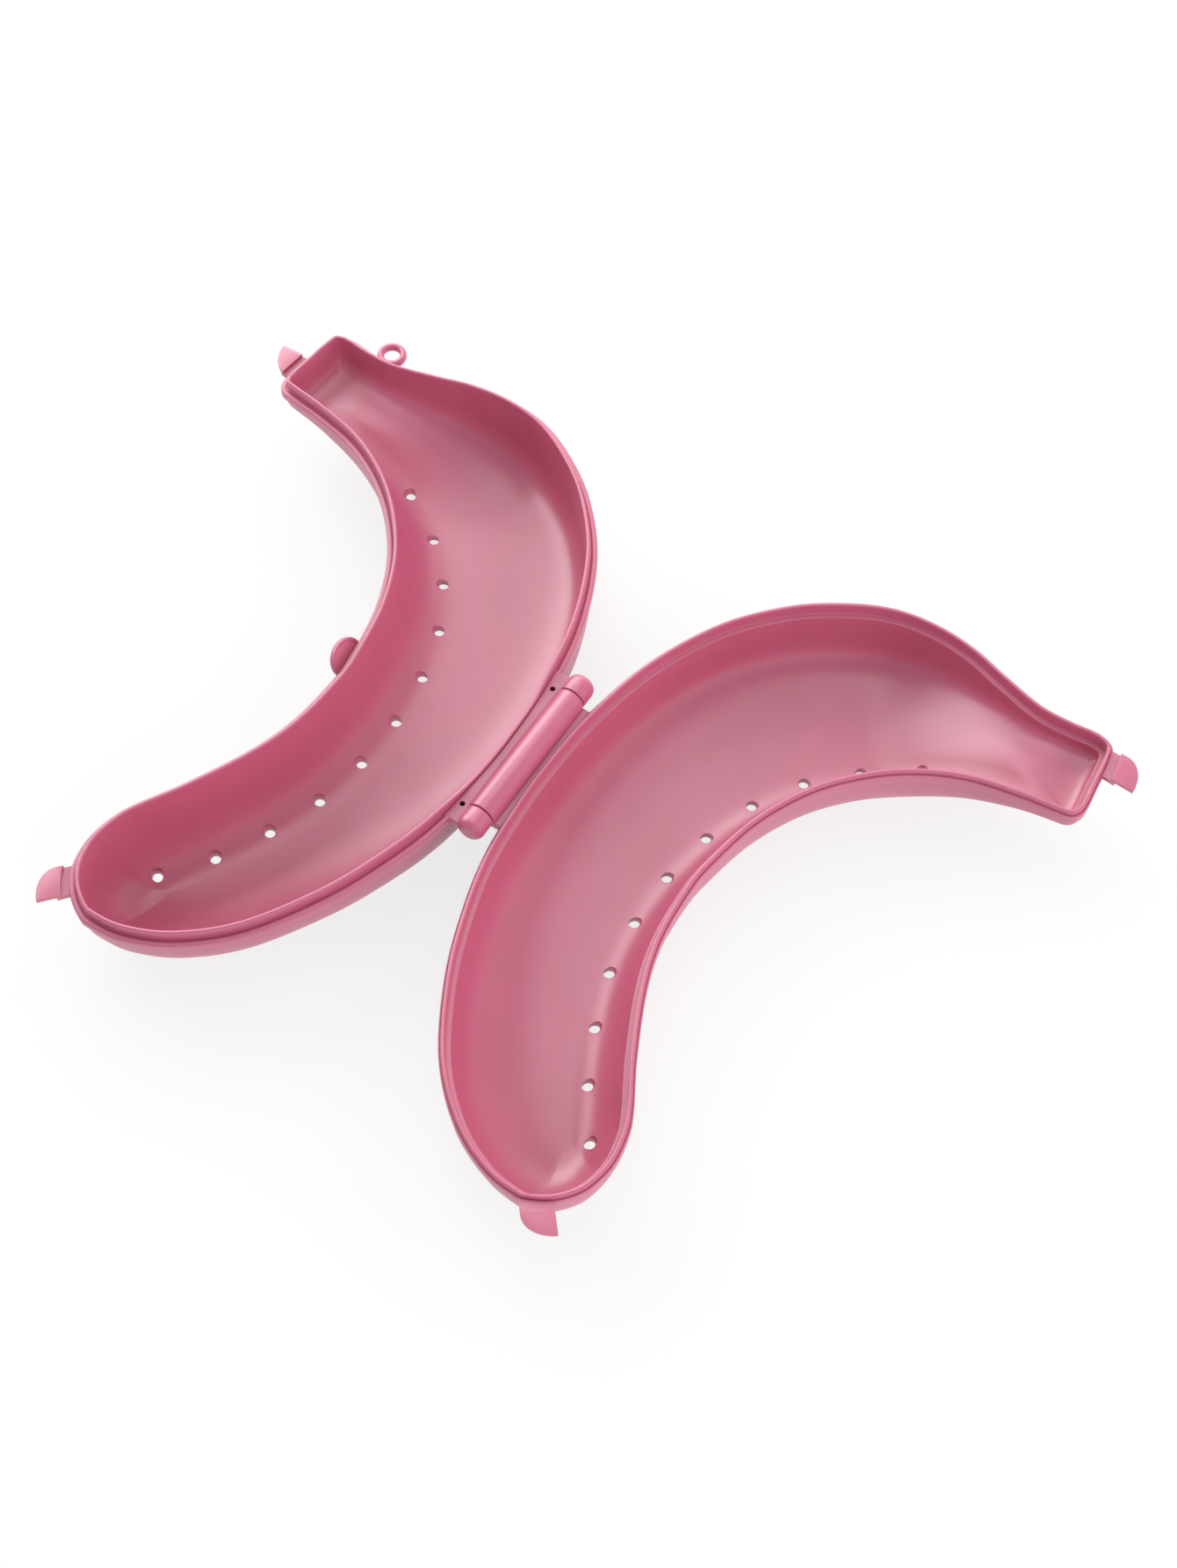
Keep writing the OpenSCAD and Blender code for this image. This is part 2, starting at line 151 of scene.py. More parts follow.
# Latches, and the pad that roots a lug on the flange
CHANNEL = 2.0
LEAF_REACH, LEAF_L, LEAF_GAP = 7.8, 8.1, 0.8
LEAF_TOP = node_span("base_neck_latch", 2)[1]
LEAF_T, RISER_T, RISER_LOW, WEB_T = 1.1, 1.2, 0.3, 1.3
NECK_SPOT, NECK_TURN = (119.7, 77.1), math.radians(-3)
TIP_SPOT, TIP_TURN = (68.6, -85.1), math.radians(-49)
TAB_AT, TAB_TURN, TAB_LEAN = (53.2, 4.6), math.radians(-8.5), math.radians(52)
TAB_L, TAB_H, TAB_T = 11.0, 4.5, 1.6
DISH_EDGE, DISH_DEPTH = 0.7, 0.3
SINK, RING_SINK = 0.35, 1.0
ROOT_RUN, ROOT_LAP, ROOT_SOFT, PROUD = 12.0, 0.15, 0.35, 0.02

# Small steps that keep faces of welded pieces off each other, the usual softened edge and the height of trims
SHY, SHY_WEB = 0.03, 0.05
SOFT = 0.25
TRIM_LOW, TRIM_HIGH = -9, 9

# How near a point counts as at a place, how square a face counts as facing a way, and which edges stay sharp
AT = 0.01
FACING = 0.9
SHARP, CREASED = math.radians(40), math.radians(35)


# The outline and the bowl as points

def stretch(control, first, last, count):
    """Evenly spaced points on the smooth curve from one control point to another, without its end."""
    total = len(control)
    fine = []
    for i in range(first, last):
        p0, p1, p2, p3 = (control[(i + k) % total] for k in (-1, 0, 1, 2))
        for t in np.linspace(0, 1, CURVE_STEPS, endpoint=False):
            bend = p0 - 2.5 * p1 + 2 * p2 - p3 / 2 + t * (1.5 * (p1 - p2) + (p3 - p0) / 2)
            fine.append(p1 + t * ((p2 - p0) / 2 + t * bend))
    fine.append(control[last % total])
    fine = np.array(fine)
    run = np.concatenate([[0], np.cumsum(np.linalg.norm(np.diff(fine, axis=0), axis=1))])
    at = run[-1] * np.arange(count) / count
    return np.stack([np.interp(at, run, fine[:, 0]), np.interp(at, run, fine[:, 1])], axis=1)


def rim_outline():
    control = [np.array(p, float) for p in OUTER_SIDE + TIP_END + INNER_SIDE + NECK_END]
    tip = len(OUTER_SIDE)
    inner = tip + len(TIP_END)
    neck = inner + len(INNER_SIDE)
    return np.concatenate([
        stretch(control, 0, tip, SIDE_N),
        stretch(control, tip, inner, TIP_N),
        stretch(control, inner, neck, SIDE_N),
        stretch(control, neck, len(control), NECK_N),
    ])


RIM = rim_outline()
ALONG = np.roll(RIM, -TANGENT_STEP, axis=0) - np.roll(RIM, TANGENT_STEP, axis=0)
INWARD = np.stack([-ALONG[:, 1], ALONG[:, 0]], axis=1) / np.linalg.norm(ALONG, axis=1)[:, None]

# Station of each rim point along the half, 0 at the neck and 1 at the tip
STATION = np.concatenate([
    np.arange(SIDE_N) / SIDE_N, np.ones(TIP_N), 1 - np.arange(SIDE_N) / SIDE_N, np.zeros(NECK_N),
])

# Side of each rim point, 1 on the convex side and 0 on the concave side
CONVEX = np.concatenate([
    np.ones(SIDE_N), 1 - np.arange(TIP_N) / TIP_N, np.zeros(SIDE_N), np.arange(NECK_N) / NECK_N,
])


def inset(distance):
    return RIM + distance * INWARD


def across(s, share):
    """Point across the half at a station, from 0 on the concave side to 1 on the convex side."""
    k = s * (SIDE_N - 1)
    i = min(int(k), SIDE_N - 2)
    j = 2 * SIDE_N + TIP_N - 1 - i
    outer = RIM[i] + (k - i) * (RIM[i + 1] - RIM[i])
    inner = RIM[j] + (k - i) * (RIM[j - 1] - RIM[j])
    return inner + share * (outer - inner)


def blend(a, b, share):
    return a + (b - a) * share


def smooth_step(x):
    t = min(1, max(0, x))
    return t * t * (3 - 2 * t)


def bowl_at(s, convex):
    """Keel point, floor height and squareness of the bowl at a station, on one side of it."""
    along = KEEL_FROM + s * (KEEL_TO - KEEL_FROM)
    share = smooth_step((along - NECK_UNTIL) / (BELLY_FROM - NECK_UNTIL))
    keel = across(along, blend(KEEL_AT_NECK, KEEL_AT_BELLY, share))
    floor = blend(-NECK_DEPTH, -BELLY_DEPTH, share)
    neck = blend(NECK_POWER_IN, NECK_POWER_OUT, convex)
    neck_wall = blend(neck, NECK_POWER_END, 4 * convex * (1 - convex))
    tip = blend(TIP_POWER_IN, TIP_POWER_OUT, convex)
    belly = blend(BELLY_POWER_IN, BELLY_POWER_OUT, convex)
    taper = smooth_step((s - TIP_FROM) / (TIP_FULL - TIP_FROM))
    power = blend(blend(neck_wall, belly, share), tip, taper)
    return keel, floor, power


BOWL = [bowl_at(s, convex) for s, convex in zip(STATION, CONVEX)]
KEEL = np.array([b[0] for b in BOWL])
FLOOR = np.array([b[1] for b in BOWL])
POWER = np.array([b[2] for b in BOWL])


def bowl_loop(edge_in, top, u, lift):
    """One loop of the bowl: u runs from 0 at its edge to 1 at the keel, lift raises the floor."""
    edge = inset(edge_in)
    share = 1 - math.cos(math.pi / 2 * u) ** (2 / POWER)
    fall = math.sin(math.pi / 2 * u) ** (2 / POWER)
    plan = edge + share[:, None] * (KEEL - edge)
    return np.column_stack([plan, top + fall * (FLOOR + lift - top)])


def bowl_loops(edge_in, top, lift):
    """Loops of a bowl from just under its edge to the keel, close together near the edge."""
    steps = [(k / BOWL_STEPS) ** BOWL_CROWDING for k in range(1, BOWL_STEPS + 1)]
    return [bowl_loop(edge_in, top, u, lift) for u in steps]


def level(inward, z):
    return np.column_stack([inset(inward), np.full(RING, z)])


def lip_level(inward, z):
    """Loop round the lid's rim, with the lip low beside the hinge."""
    loop = level(inward, z)
    if z > -FACE:
        off = np.abs(RIM[:, 1] - HINGE_Y) - BARREL_L / 2
        near = [convex * smooth_step(-d / LIP_RUN) for convex, d in zip(CONVEX == 1, off - LIP_RUN / 2)]
        loop[:, 2] -= (1 - LIP_LOW) * (z + FACE) * np.array(near)
    return loop


def rounded(profile):
    """Points of a profile of (inset, height, radius) corners, with each corner turned as an arc."""
    points = [np.array(profile[0][:2])]
    for before, corner, after in zip(profile, profile[1:], profile[2:]):
        at = np.array(corner[:2])
        back = np.array(before[:2]) - at
        ahead = np.array(after[:2]) - at
        back, ahead = back / np.linalg.norm(back), ahead / np.linalg.norm(ahead)
        half = math.acos(float(np.clip(back @ ahead, -1, 1))) / 2
        centre = at + (back + ahead) / np.linalg.norm(back + ahead) * corner[2] / math.sin(half)
        first = at + back * corner[2] / math.tan(half) - centre
        last = at + ahead * corner[2] / math.tan(half) - centre
        turn = math.pi - 2 * half
        for k in range(ARC_STEPS + 1):
            t = k / ARC_STEPS
            arc = (math.sin((1 - t) * turn) * first + math.sin(t * turn) * last) / math.sin(turn)
            points.append(centre + arc)
    points.append(np.array(profile[-1][:2]))
    return points


# Working by hand: selecting, adding, cutting and setting down

def deselect_all():
    bpy.ops.object.select_all(action="DESELECT")


def make_active(piece):
    deselect_all()
    piece.select_set(True)
    bpy.context.view_layer.objects.active = piece


def apply_place(piece):
    make_active(piece)
    bpy.ops.object.transform_apply(location=True, rotation=True, scale=True)


def begin_edit(piece):
    make_active(piece)
    bpy.ops.object.mode_set(mode="EDIT")


def end_edit():
    bpy.ops.object.mode_set(mode="OBJECT")


def added(name):
    """The primitive that was just added, with its place in its mesh."""
    piece = bpy.context.object
    piece.name = piece.data.name = name
    apply_place(piece)
    return piece


def add_cylinder(name, radius, low, high, axis="Z", vertices=64):
    """Cylinder between two points."""
    deselect_all()
    turn = {"Z": (0, 0, 0), "Y": (math.pi / 2, 0, 0)}[axis]
    middle = (Vector(low) + Vector(high)) / 2
    bpy.ops.mesh.primitive_cylinder_add(
        vertices=vertices, radius=radius, depth=(Vector(high) - Vector(low)).length,
        location=middle, rotation=turn,
    )
    return added(name)


def add_block(name, low, high):
    deselect_all()
    low, high = Vector(low), Vector(high)
    bpy.ops.mesh.primitive_cube_add(size=1, location=(low + high) / 2, scale=high - low)
    return added(name)


def pick_faces(test):
    """Selects the faces whose middle and normal pass a test, in edit mode."""
    bpy.ops.mesh.select_mode(type="FACE")
    bpy.ops.mesh.select_all(action="DESELECT")
    mesh = bmesh.from_edit_mesh(bpy.context.object.data)
    for face in mesh.faces:
        face.select_set(test(face.calc_center_median(), face.normal))
    bmesh.update_edit_mesh(bpy.context.object.data)


def pick_edges(test):
    """Selects the edges whose two ends pass a test, in edit mode."""
    bpy.ops.mesh.select_mode(type="EDGE")
    bpy.ops.mesh.select_all(action="DESELECT")
    mesh = bmesh.from_edit_mesh(bpy.context.object.data)
    for edge in mesh.edges:
        edge.select_set(test(edge.verts[0].co) and test(edge.verts[1].co))
    bmesh.update_edit_mesh(bpy.context.object.data)


def push(x, y, z):
    bpy.ops.mesh.extrude_region_move(TRANSFORM_OT_translate={"value": (x, y, z)})


def apply_modifier(piece, modifier):
    make_active(piece)
    bpy.ops.object.modifier_apply(modifier=modifier.name)


def combine(piece, tool, operation):
    """Cuts a tool out of a piece, or welds it on."""
    modifier = piece.modifiers.new(operation.lower(), "BOOLEAN")
    modifier.operation = operation
    modifier.solver = "EXACT"
    modifier.object = tool
    apply_modifier(piece, modifier)
    bpy.data.objects.remove(tool)


def soften(piece, width=SOFT, segments=3):
    """Rounds the sharp edges of a piece."""
    modifier = piece.modifiers.new("soften", "BEVEL")
    modifier.limit_method = "ANGLE"
    modifier.angle_limit = SHARP
    modifier.width = width
    modifier.segments = segments
    apply_modifier(piece, modifier)


def outward(piece, weld=0.0005):
    """Welds points that lie together and turns the faces outwards."""
    begin_edit(piece)
    bpy.ops.mesh.select_all(action="SELECT")
    bpy.ops.mesh.remove_doubles(threshold=weld)
    bpy.ops.mesh.normals_make_consistent(inside=False)
    end_edit()


def outline_block(name, inward):
    """Solid of the rim's outline drawn in by a distance, used to trim what stands on the rim."""
    deselect_all()
    bpy.ops.mesh.primitive_circle_add(vertices=RING, radius=50, fill_type="NGON")
    block = added(name)
    block.data.vertices.foreach_set("co", level(inward, TRIM_LOW).ravel())
    begin_edit(block)
    bpy.ops.mesh.select_all(action="SELECT")
    push(0, 0, TRIM_HIGH - TRIM_LOW)
    end_edit()
    outward(block)
    return block


def set_down(piece, side, material, slot, *nodes):
    """Puts a finished piece into the case, in metres, in place of its nodes."""
    piece.scale = (side * MM, MM, MM)
    piece.location = (0, 0, PARTING_Z * MM)
    apply_place(piece)
    begin_edit(piece)
    bpy.ops.mesh.select_all(action="SELECT")
    bpy.ops.mesh.normals_make_consistent(inside=False)
    end_edit()
    bpy.ops.object.shade_smooth_by_angle(angle=CREASED)
    piece.data.materials.clear()
    piece.data.materials.append(material)
    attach(piece, "base" if side == BASE else "lid")
    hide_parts(*nodes)


# Finishes

def moulded_plastic(name, deep, pale):
    """Glossy moulded plastic: faint clouding of the colour, uneven gloss and a fine orange-peel skin."""
    material = bpy.data.materials.new(name)
    material.use_nodes = True
    nodes, links = material.node_tree.nodes, material.node_tree.links
    shader = nodes["Principled BSDF"]
    shader.inputs["IOR"].default_value = 1.55
    shader.inputs["Specular IOR Level"].default_value = 1.0
    place = nodes.new("ShaderNodeTexCoord")

    def noise(scale, detail):
        node = nodes.new("ShaderNodeTexNoise")
        node.inputs["Scale"].default_value = scale
        node.inputs["Detail"].default_value = detail
        links.new(place.outputs["Object"], node.inputs["Vector"])
        return node.outputs["Fac"]

    clouds = nodes.new("ShaderNodeValToRGB")
    clouds.color_ramp.elements[0].position = 0.3
    clouds.color_ramp.elements[0].color = (*deep, 1)
    clouds.color_ramp.elements[1].position = 0.7
    clouds.color_ramp.elements[1].color = (*pale, 1)
    links.new(noise(28, 3), clouds.inputs["Fac"])
    links.new(clouds.outputs["Color"], shader.inputs["Base Color"])

    gloss = nodes.new("ShaderNodeMapRange")
    gloss.inputs["To Min"].default_value = 0.31
    gloss.inputs["To Max"].default_value = 0.41
    links.new(noise(90, 4), gloss.inputs["Value"])
    links.new(gloss.outputs["Result"], shader.inputs["Roughness"])

    skin = nodes.new("ShaderNodeBump")
    skin.inputs["Strength"].default_value = 0.12
    skin.inputs["Distance"].default_value = 0.00006
    links.new(noise(700, 2), skin.inputs["Height"])
    sway = nodes.new("ShaderNodeBump")
    sway.inputs["Strength"].default_value = 0.1
    sway.inputs["Distance"].default_value = 0.0004
    links.new(noise(45, 1), sway.inputs["Height"])
    links.new(skin.outputs["Normal"], sway.inputs["Normal"])
    links.new(sway.outputs["Normal"], shader.inputs["Normal"])
    return material


def drawn_steel(name):
    """Drawn wire steel: fine rings of scratches round the pin."""
    material = bpy.data.materials.new(name)
    material.use_nodes = True
    nodes, links = material.node_tree.nodes, material.node_tree.links
    shader = nodes["Principled BSDF"]
    shader.inputs["Metallic"].default_value = 1
    place = nodes.new("ShaderNodeTexCoord")
    along = nodes.new("ShaderNodeMapping")
    along.inputs["Scale"].default_value = (60, 4000, 60)
    grain = nodes.new("ShaderNodeTexNoise")
    grain.inputs["Detail"].default_value = 2
    links.new(place.outputs["Object"], along.inputs["Vector"])
    links.new(along.outputs["Vector"], grain.inputs["Vector"])
    shade = nodes.new("ShaderNodeValToRGB")
    shade.color_ramp.elements[0].color = (0.42, 0.42, 0.43, 1)
    shade.color_ramp.elements[1].color = (0.66, 0.66, 0.67, 1)
    links.new(grain.outputs["Fac"], shade.inputs["Fac"])
    links.new(shade.outputs["Color"], shader.inputs["Base Color"])
    gloss = nodes.new("ShaderNodeMapRange")
    gloss.inputs["To Min"].default_value = 0.25
    gloss.inputs["To Max"].default_value = 0.45
    links.new(grain.outputs["Fac"], gloss.inputs["Value"])
    links.new(gloss.outputs["Result"], shader.inputs["Roughness"])
    ridges = nodes.new("ShaderNodeBump")
    ridges.inputs["Strength"].default_value = 0.2
    ridges.inputs["Distance"].default_value = 0.00002
    links.new(grain.outputs["Fac"], ridges.inputs["Height"])
    links.new(ridges.outputs["Normal"], shader.inputs["Normal"])
    return material


ROSE_DEEP, ROSE_PALE = (0.460, 0.095, 0.170), (0.510, 0.109, 0.193)
ROSE = moulded_plastic("rose_plastic", ROSE_DEEP, ROSE_PALE)
STEEL = drawn_steel("pin_wire")


# The two bowls

def loft(name, loops):
    """Closed shell drawn out of a ring, loop by loop, from the outer keel over the rim to the inner keel."""
    deselect_all()
    bpy.ops.mesh.primitive_circle_add(vertices=RING, radius=50, fill_type="NOTHING")
    shell = added(name)
    number = shell.data.attributes.new("ring_number", "INT", "POINT")
    number.data.foreach_set("value", np.arange(RING))
    begin_edit(shell)
    bpy.ops.mesh.select_mode(type="EDGE")
    bpy.ops.mesh.select_all(action="SELECT")
    place_loop(shell, loops[0])
    for loop in loops[1:]:
        bpy.ops.mesh.extrude_edges_indiv()
        place_loop(shell, loop)
    end_edit()
    shell.data.attributes.remove(shell.data.attributes["ring_number"])
    outward(shell)
    return shell


def place_loop(shell, loop):
    """Moves the selected loop to its points."""
    mesh = bmesh.from_edit_mesh(shell.data)
    number = mesh.verts.layers.int["ring_number"]
    for vert in mesh.verts:
        if vert.select:
            vert.co = loop[vert[number]]
    bmesh.update_edit_mesh(shell.data)


def shell_loops(outer_in, outer_top, rim_profile, inner_top, rim_level=level):
    """Loops of a whole shell, from its outer bowl over a rounded rim to its inner bowl."""
    rim = [rim_level(*point) for point in rounded(rim_profile)]
    return bowl_loops(outer_in, outer_top, 0)[::-1] + rim + bowl_loops(LIP_IN, inner_top, WALL)


def cut_vents(shell):
    """Drills the row of vents, each with a small rounded mouth on the inside."""
    for i in range(VENTS):
        x, y = across(VENT_FROM + VENT_RUN * i / (VENTS - 1), VENT_ACROSS)
        _, floor, _, _ = shell.ray_cast((x, y, 1), (0, 0, -1))
        below, mouth = (x, y, -BELLY_DEPTH - 2), (x, y, floor.z - VENT_EASE)
        drill = add_cylinder("vent_drill", VENT_R, below, mouth, vertices=40)
        begin_edit(drill)
        pick_faces(lambda middle, normal: normal.z > FACING)
        push(0, 0, VENT_EASE * 2)
        flare = (VENT_FLARE, VENT_FLARE, 1)
        bpy.ops.transform.resize(value=flare, center_override=(x, y, floor.z + VENT_EASE))
        push(0, 0, 2)
        end_edit()
        combine(shell, drill, "DIFFERENCE")


def base_shell():
    shell = loft("base_bowl", shell_loops(BAND_IN, -BAND_H, [
        (BAND_IN, -BAND_H - RUN_ON),
        (BAND_IN, -BAND_H, CORNER_R),
        (0, -BAND_H, BAND_R),
        (0, -FACE - LEDGE_DROP, LEDGE_R),
        (LEDGE_W, -FACE - LEDGE_DROP - LEDGE_DIP, DIP_R),
        (LEDGE_W, -FACE, CREST_R),
        (CREST_IN, -FACE, CREST_R),
        (CREST_IN, -REBATE_Z, CORNER_R),
        (LIP_IN, -REBATE_Z, CORNER_R),
        (LIP_IN, -REBATE_Z - RUN_ON),
    ], -REBATE_Z))
    cut_vents(shell)
    set_down(shell, BASE, ROSE, "base_plastic", "base_shell")


def lid_shell():
    shell = loft("lid_bowl", shell_loops(LID_WALL_IN, FLANGE_LOW, [
        (LID_WALL_IN, FLANGE_LOW - RUN_ON),
        (LID_WALL_IN, FLANGE_LOW, CORNER_R),
        (0, FLANGE_LOW, EDGE_R),
        (0, -FACE, EDGE_R),
        (LIP_OUT - GROOVE_W, -FACE, GROOVE_EDGE_R),
        (LIP_OUT - GROOVE_FLAT, -FACE - GROOVE_DEPTH, GROOVE_R),
        (LIP_OUT, -FACE - GROOVE_DEPTH, GROOVE_CORNER_R),
        (LIP_OUT, LIP_H, EDGE_R),
        (LIP_IN, LIP_H, EDGE_R),
        (LIP_IN, LIP_FOOT),
    ], 0, lip_level))
    cut_vents(shell)
    for way in (-1, 1):
        combine(shell, relief_drill(way), "DIFFERENCE")
    set_down(shell, LID, ROSE, "lid_plastic", "lid_shell")


# The hinge

def hinge_barrel():
    """Bored tube on the hinge axis, with a strip that joins it to the base's wall under the ledge."""
    low, high = HINGE_Y - BARREL_L / 2, HINGE_Y + BARREL_L / 2
    barrel = add_cylinder("hinge_tube", BARREL_R, (0, low, 0), (0, high, 0), "Y", 72)
    begin_edit(barrel)
    pick_faces(lambda middle, normal: abs(normal.y) > FACING)
    bpy.ops.mesh.inset(thickness=BARREL_R - PIN_R - BORE_GAP, use_individual=True)
    bpy.ops.mesh.delete(type="FACE")
    bpy.ops.mesh.select_mode(type="EDGE")
    bpy.ops.mesh.select_non_manifold()
    bpy.ops.mesh.bridge_edge_loops()
    end_edit()
    soften(barrel)
    top = -FACE - LEDGE_DROP - SHY_WEB
    strip = add_block("hinge_strip", (STRIP_NEAR, low, STRIP_LOW), (STRIP_FAR, high, top))
    soften(strip, 0.2)
    combine(barrel, strip, "UNION")
    bore = add_cylinder("hinge_bore", PIN_R + BORE_GAP, (0, low - 1, 0), (0, high + 1, 0), "Y", 72)
    combine(barrel, bore, "DIFFERENCE")
    set_down(barrel, BASE, ROSE, "base_plastic", "hinge_barrel")


def relief_drill(way):
    """Drill for the small blind hole in the flange where a lug starts."""
    at = (RELIEF_X, HINGE_Y + way * BARREL_L / 2)
    return add_cylinder("relief_drill", RELIEF_R, (*at, -FACE - FLANGE_T / 2), (*at, 1), vertices=32)


def hinge_lug(name, way, node):
    """Domed lug at one end of the barrel, way is 1 towards the neck and -1 towards the tip.

    Its root lies on the flange as far as the lip, and fills the flange out beside its half of the barrel.
    """
    start = HINGE_Y + way * (BARREL_L / 2 + LUG_GAP)
    end = start + way * LUG_L
    lug = add_cylinder(name, BARREL_R, (0, start, 0), (0, end, 0), "Y", 72)
    begin_edit(lug)
    pick_edges(lambda at: abs(at.y - end) < AT)
    bpy.ops.mesh.bevel(offset=LUG_DOME, segments=10, profile=0.5, affect="EDGES")
    pick_edges(lambda at: abs(at.y - start) < AT)
    bpy.ops.mesh.bevel(offset=SOFT, segments=3, profile=0.5, affect="EDGES")
    pick_faces(lambda middle, normal: abs(middle.y - start) < AT)
    bpy.ops.mesh.inset(thickness=BARREL_R - SOFT - PIN_R)
    push(0, way * (LUG_L - LUG_CAP), 0)
    end_edit()
    outward(lug)
    bottom, top = FLANGE_LOW + SHY, -FACE + PROUD
    near, far = sorted((start, end - way * LUG_DOME / 2))
    pad = add_block(name + "_pad", (PIN_R + PAD_OFF, near, bottom), (ROOT_RUN, far, top))
    near, far = sorted((HINGE_Y - way, start + way))
    fill = add_block(name + "_fill", (BARREL_R + BARREL_GAP, near, bottom), (ROOT_RUN, far, top))
    combine(pad, fill, "UNION")
    soften(pad, ROOT_SOFT)
    begin_edit(pad)
    bpy.ops.mesh.select_all(action="SELECT")
    middle = (0, HINGE_Y + way * HALF_GAP, 0)
    bpy.ops.mesh.bisect(plane_co=middle, plane_no=(0, way, 0), clear_inner=True, use_fill=True)
    end_edit()
    combine(pad, outline_block("lip_trim", LIP_OUT - ROOT_LAP), "DIFFERENCE")
    combine(pad, relief_drill(way), "DIFFERENCE")
    combine(lug, pad, "UNION")
    set_down(lug, LID, ROSE, "lid_plastic", node)


# The latches

def leaf_slab(name, spot, turn, side, low, high, ease=0):
    """Quarter of a leaf pair in plan, drawn in by an ease and run in under the rim, between two heights."""
    deselect_all()
    bpy.ops.mesh.primitive_circle_add(vertices=128, radius=1, fill_type="NGON")
    slab = added(name)
    begin_edit(slab)
    bpy.ops.mesh.select_all(action="SELECT")
    size = (LEAF_REACH - CHANNEL - ease, LEAF_L - ease, 1)
    bpy.ops.transform.resize(value=size, center_override=(0, 0, 0))
    bpy.ops.mesh.select_all(action="SELECT")
    bpy.ops.mesh.bisect(plane_co=(0, LEAF_GAP / 2 + ease, 0), plane_no=(0, 1, 0), clear_inner=True)
    bpy.ops.mesh.select_all(action="SELECT")
    bpy.ops.mesh.bisect(plane_co=(0, 0, 0), plane_no=(1, 0, 0), clear_inner=True)
    pick_edges(lambda at: abs(at.x) < AT / 10)
    bpy.ops.mesh.extrude_edges_indiv()
    bpy.ops.transform.translate(value=(-LEAF_REACH - CHANNEL, 0, 0))
    bpy.ops.mesh.select_all(action="SELECT")
    push(0, 0, high - low)
    end_edit()
    slab.scale = (1, side, 1)
    slab.location = (CHANNEL, 0, low)
    apply_place(slab)
    slab.rotation_euler = (0, 0, turn)
    slab.location = (*spot, 0)
    apply_place(slab)
    outward(slab)
    return slab


def leaf(name, spot, turn, side, half, slot, node):
    """Thin leaf on a riser, which stands on a web across the channel from the rim."""
    plate = leaf_slab(name, spot, turn, side, LEAF_TOP - LEAF_T, LEAF_TOP)
    combine(plate, outline_block("channel_trim", -CHANNEL), "DIFFERENCE")
    riser = leaf_slab(name + "_riser", spot, turn, side, FLANGE_LOW, LEAF_TOP - RISER_LOW, SHY)
    combine(riser, outline_block("channel_trim", -CHANNEL - SHY), "DIFFERENCE")
    combine(riser, outline_block("riser_trim", -CHANNEL - RISER_T), "INTERSECT")
    web = leaf_slab(name + "_web", spot, turn, side, FLANGE_LOW + SHY_WEB, FLANGE_LOW + WEB_T, 2 * SHY)
    combine(web, outline_block("rim_trim", SINK), "DIFFERENCE")
    combine(web, outline_block("web_trim", -CHANNEL - RISER_T / 2), "INTERSECT")
    combine(plate, riser, "UNION")
    combine(plate, web, "UNION")
    outward(plate, SHY)
    soften(plate)
    outward(plate)
    set_down(plate, half, ROSE, slot, node)


def side_tab():
    """Lifting tab in the middle of the concave side: a half round plate, dished, that leans outwards."""
    deselect_all()
    bpy.ops.mesh.primitive_circle_add(vertices=96, radius=1, fill_type="NGON")
    tab = added("side_tab")
    begin_edit(tab)
    bpy.ops.mesh.select_all(action="SELECT")
    bpy.ops.transform.resize(value=(TAB_H, TAB_L / 2, 1), center_override=(0, 0, 0))
    bpy.ops.mesh.select_all(action="SELECT")
    bpy.ops.mesh.bisect(plane_co=(0, 0, 0), plane_no=(1, 0, 0), clear_inner=True)
    bpy.ops.mesh.select_all(action="SELECT")
    push(0, 0, -TAB_T)
    end_edit()
    outward(tab)
    begin_edit(tab)
    pick_faces(lambda middle, normal: normal.x < -FACING)
    push(-FLANGE_T, 0, 0)
    end_edit()
    soften(tab, 0.5, 4)
    begin_edit(tab)
    pick_faces(lambda middle, normal: normal.z > FACING)
    bpy.ops.mesh.inset(thickness=DISH_EDGE)
    bpy.ops.transform.translate(value=(0, 0, -DISH_DEPTH))
    end_edit()
    tab.rotation_euler = (0, -TAB_LEAN, 0)
    apply_place(tab)
    tab.rotation_euler = (0, 0, TAB_TURN)
    tab.location = (*TAB_AT, -FACE)
    apply_place(tab)
    combine(tab, outline_block("rim_trim", SINK), "DIFFERENCE")
    x, y = TAB_AT
    bottom = FLANGE_LOW + SHY_WEB
    under = add_block("under_trim", (x - TAB_L, y - TAB_L, -12), (x + TAB_L, y + TAB_L, bottom))
    combine(tab, under, "DIFFERENCE")
    set_down(tab, LID, ROSE, "lid_plastic", "lid_side_latch")


def strap_ring():
    """Round eye for a strap, grown out of the lid's flange beside the neck."""
    low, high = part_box("strap_ring")
    size = (high - low) / MM
    eye = frame["record"]["mounts"][0]
    hole = eye["dims"]["r_mm"]
    x, y = -eye["pos_m"][0] / MM, eye["pos_m"][1] / MM
    outer = size.x / 2
    bar = (outer - hole) / 2
    deselect_all()
    bpy.ops.mesh.primitive_torus_add(
        major_segments=72, minor_segments=28, major_radius=hole + bar, minor_radius=bar,
        location=(x, y, low.z / MM - PARTING_Z + size.z / 2),
    )
    bpy.context.object.scale.z = size.z / (2 * bar)
    ring = added("strap_eye")
    combine(ring, outline_block("rim_trim", RING_SINK), "DIFFERENCE")
    set_down(ring, LID, ROSE, "lid_plastic", "strap_ring")


